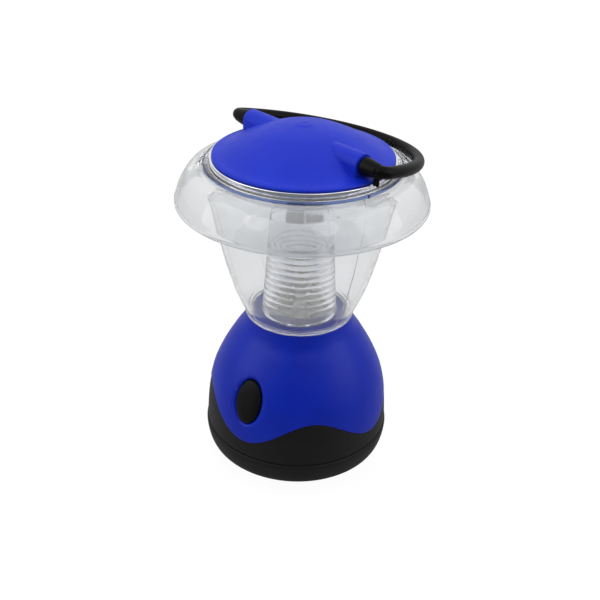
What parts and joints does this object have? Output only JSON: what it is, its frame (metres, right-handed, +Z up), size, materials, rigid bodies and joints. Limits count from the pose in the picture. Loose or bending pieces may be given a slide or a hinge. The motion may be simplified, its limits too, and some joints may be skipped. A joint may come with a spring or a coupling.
{
  "type": "camping lantern",
  "caption": "Small battery lantern: flared base with side push button, clear globe and skirt, domed cap with a folding bail handle, screw-off battery cover.",
  "frame": {"origin": "centre of the flat underside of the battery cover", "axes": "+Z up through the cap; -Y is the front of the view the lantern is shown from, +X its right"},
  "size_m": [0.0916, 0.0916, 0.1318],
  "materials": {
    "blue_shell": "satin moulded",
    "blue_cap": "satin moulded",
    "black_plastic": "fine grain",
    "black_rubber": "smooth",
    "button_rubber": "smooth, soft sheen",
    "handle_black": "fine grain",
    "grey_plastic": "moulded",
    "steel": "bright",
    "brass": "bright",
    "cell_can": "plain printed sleeve, no text",
    "board_green": "solder mask",
    "board_white": "white solder mask",
    "resistor_blue": "lacquered",
    "wire_red": "smooth sleeve",
    "wire_black": "smooth sleeve",
    "led_body": "clear epoxy",
    "clear_globe": "clear plastic, glossy",
    "clear_shade": "clear plastic, glossy",
    "clear_lens": "clear plastic, ribbed",
    "metallised": "vacuum-metallised plastic"
  },
  "bodies": {
    "base": {"base_shell": "blue_shell", "base_band": "black_plastic", "battery_cage": "black_plastic", "cage_screw_1": "steel", "cage_screw_2": "steel", "cage_screw_3": "steel", "battery_cell_1": "cell_can", "battery_cell_2": "cell_can", "battery_cell_3": "cell_can", "contact_board": "board_green", "top_spring": "steel", "top_contact_1": "brass", "top_contact_2": "brass", "switch_body": "grey_plastic", "switch_board": "board_green", "resistor": "resistor_blue", "wire_red": "wire_red", "wire_black": "wire_black", "led_board": "board_white", "ribbed_lens": "clear_lens", "clear_globe": "clear_globe", "clear_shade": "clear_shade", "reflector": "metallised", "top_cap": "blue_cap", "cap_screw_1": "steel", "cap_screw_2": "steel", "cap_screw_3": "steel", "led_1": "led_body", "led_2": "led_body", "led_3": "led_body", "led_4": "led_body", "led_5": "led_body", "led_6": "led_body"},
    "cover": {"battery_cover": "black_plastic", "cover_seal": "black_rubber", "carrier_screw": "steel"},
    "carrier": {"contact_carrier": "grey_plastic", "carrier_spring_1": "steel", "carrier_spring_2": "steel", "carrier_contact": "brass"},
    "button": {"power_button": "button_rubber", "switch_plunger": "grey_plastic"},
    "handle": {"bail_handle": "handle_black"}
  },
  "joints": [
    {"name": "handle_swing", "type": "hinge", "parent": "base", "child": "handle", "pos_m": [0, 0, 0.1253], "axis": [0.6921, -0.7218, 0], "range_deg": [0, 206]},
    {"name": "button_press", "type": "slide", "parent": "base", "child": "button", "axis": [0.5287, 0.7839, -0.3256], "range_m": [0, 0.0012], "stiffness_N_per_m": 600, "springref_m": -0.0005},
    {"name": "cover_drop", "type": "slide", "parent": "base", "child": "carrier", "axis": [0, 0, -1], "range_m": [0, 0.00701]},
    {"name": "cover_turn", "type": "hinge", "parent": "carrier", "child": "cover", "pos_m": [0, 0, 0], "axis": [0, 0, -1], "range_deg": [0, 630]}
  ],
  "couplings": [
    {"joint": "cover_drop", "follows": "cover_turn", "m_per_rad": 0.00063662}
  ]
}
